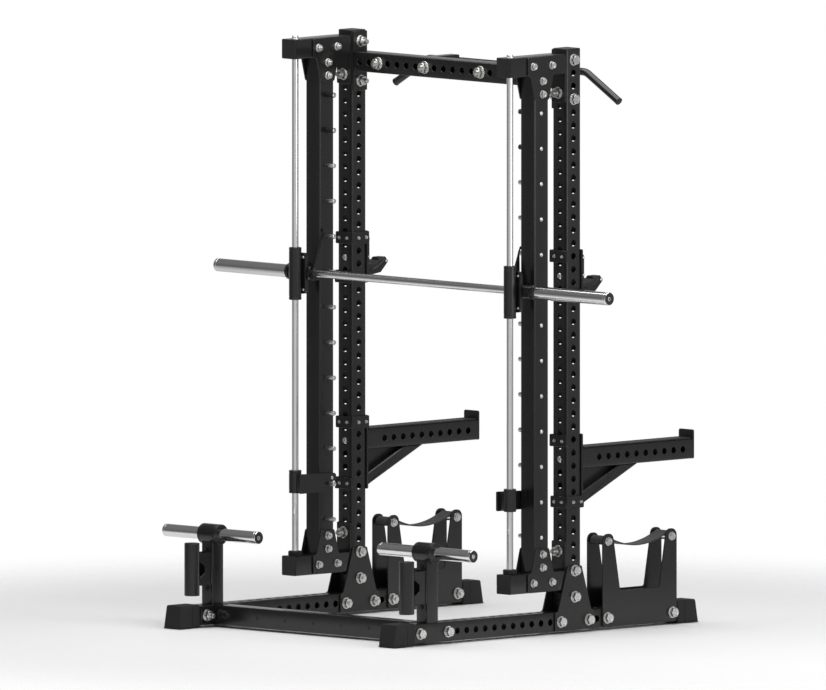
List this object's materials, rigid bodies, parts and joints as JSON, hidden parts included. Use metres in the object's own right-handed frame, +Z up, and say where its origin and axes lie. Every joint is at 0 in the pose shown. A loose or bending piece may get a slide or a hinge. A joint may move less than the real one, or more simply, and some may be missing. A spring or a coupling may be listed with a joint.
{
  "type": "power cage",
  "caption": "Half rack with a guided bar on two rods, spotter arms, J-cups, strap cradles, plate horns and a pull-up bar.",
  "frame": {"origin": "middle of the footprint's bounding box, on the floor", "axes": "+X to the right as seen from the guided bar's side, +Y from the guided bar to the spotter arms, +Z up"},
  "size_m": [2.11, 1.635, 2.23],
  "materials": {
    "black_paint": "semi-gloss black powder coat",
    "grain_paint": "fine-grained black powder coat",
    "chrome": "polished hard chrome",
    "rubber": "matt moulded rubber",
    "black_plastic": "moulded black plastic",
    "webbing": "woven black webbing"
  },
  "bodies": {
    "rack": {"front_cross_beam": "black_paint", "top_cross_beam": "grain_paint", "pull_up_bar": "black_paint", "left_base_rail": "grain_paint", "left_front_foot": "rubber", "left_rear_foot": "rubber", "left_outer_base_gusset": "grain_paint", "left_inner_base_gusset": "grain_paint", "left_upright": "grain_paint", "left_smith_column": "black_paint", "left_top_bracket": "black_paint", "left_low_bracket": "black_paint", "left_guide_rod": "chrome", "left_rod_bumper": "rubber", "left_horn_post": "black_paint", "left_plate_horn": "chrome", "left_bar_holder": "black_paint", "left_outer_cradle_plate": "black_paint", "left_inner_cradle_plate": "black_paint", "left_cradle_strap": "webbing", "right_base_rail": "grain_paint", "right_front_foot": "rubber", "right_rear_foot": "rubber", "right_outer_base_gusset": "grain_paint", "right_inner_base_gusset": "grain_paint", "right_upright": "grain_paint", "right_smith_column": "black_paint", "right_top_bracket": "black_paint", "right_low_bracket": "black_paint", "right_guide_rod": "chrome", "right_rod_bumper": "rubber", "right_horn_post": "black_paint", "right_plate_horn": "chrome", "right_bar_holder": "black_paint", "right_outer_cradle_plate": "black_paint", "right_inner_cradle_plate": "black_paint", "right_cradle_strap": "webbing"},
    "carriage": {"left_slide_housing": "black_paint", "left_slide_bearing": "black_plastic", "right_slide_housing": "black_paint", "right_slide_bearing": "black_plastic"},
    "guided_bar": {"bar_shaft": "chrome", "left_hook_plate": "grain_paint", "right_hook_plate": "grain_paint"},
    "left_sleeve": {"left_bar_sleeve": "chrome"},
    "left_stop_slide": {"left_stop_bush": "black_plastic"},
    "left_stop": {"left_stop_arm": "black_paint"},
    "left_jcup": {"left_j_cup": "black_paint", "left_j_cup_liner": "black_plastic"},
    "left_spotter": {"left_arm_bracket": "black_paint", "left_spotter_arm": "grain_paint", "left_arm_liner": "black_plastic"},
    "right_sleeve": {"right_bar_sleeve": "chrome"},
    "right_stop_slide": {"right_stop_bush": "black_plastic"},
    "right_stop": {"right_stop_arm": "black_paint"},
    "right_jcup": {"right_j_cup": "black_paint", "right_j_cup_liner": "black_plastic"},
    "right_spotter": {"right_arm_bracket": "black_paint", "right_spotter_arm": "grain_paint", "right_arm_liner": "black_plastic"}
  },
  "joints": [
    {"name": "carriage_slide", "type": "slide", "parent": "rack", "child": "carriage", "axis": [0, 0, 1], "range_m": [-0.54, 0.54]},
    {"name": "bar_turn", "type": "hinge", "parent": "carriage", "child": "guided_bar", "pos_m": [0, -0.0935, 1.316], "axis": [-1, 0, 0], "range_deg": [-45, 6]},
    {"name": "left_sleeve_spin", "type": "hinge", "parent": "guided_bar", "child": "left_sleeve", "pos_m": [-0.85, -0.0935, 1.316], "axis": [1, 0, 0], "continuous": true},
    {"name": "left_stop_lift", "type": "slide", "parent": "rack", "child": "left_stop_slide", "axis": [0, 0, 1], "range_m": [0, 0.08]},
    {"name": "left_stop_swing", "type": "hinge", "parent": "left_stop_slide", "child": "left_stop", "pos_m": [-0.5775, -0.153, 0.5215], "axis": [0, 0, -1], "range_deg": [0, 60]},
    {"name": "left_jcup_turn", "type": "hinge", "parent": "rack", "child": "left_jcup", "pos_m": [-0.5775, 0.1525, 1.362], "axis": [0, 1, 0], "range_deg": [0, 90]},
    {"name": "left_spotter_turn", "type": "hinge", "parent": "rack", "child": "left_spotter", "pos_m": [-0.5775, 0.1525, 0.662], "axis": [0, 1, 0], "range_deg": [0, 90]},
    {"name": "right_sleeve_spin", "type": "hinge", "parent": "guided_bar", "child": "right_sleeve", "pos_m": [0.85, -0.0935, 1.316], "axis": [1, 0, 0], "continuous": true},
    {"name": "right_stop_lift", "type": "slide", "parent": "rack", "child": "right_stop_slide", "axis": [0, 0, 1], "range_m": [0, 0.08]},
    {"name": "right_stop_swing", "type": "hinge", "parent": "right_stop_slide", "child": "right_stop", "pos_m": [0.5775, -0.153, 0.5215], "axis": [0, 0, 1], "range_deg": [0, 60]},
    {"name": "right_jcup_turn", "type": "hinge", "parent": "rack", "child": "right_jcup", "pos_m": [0.5775, 0.1525, 1.362], "axis": [0, -1, 0], "range_deg": [0, 90]},
    {"name": "right_spotter_turn", "type": "hinge", "parent": "rack", "child": "right_spotter", "pos_m": [0.5775, 0.1525, 0.662], "axis": [0, -1, 0], "range_deg": [0, 90]}
  ]
}
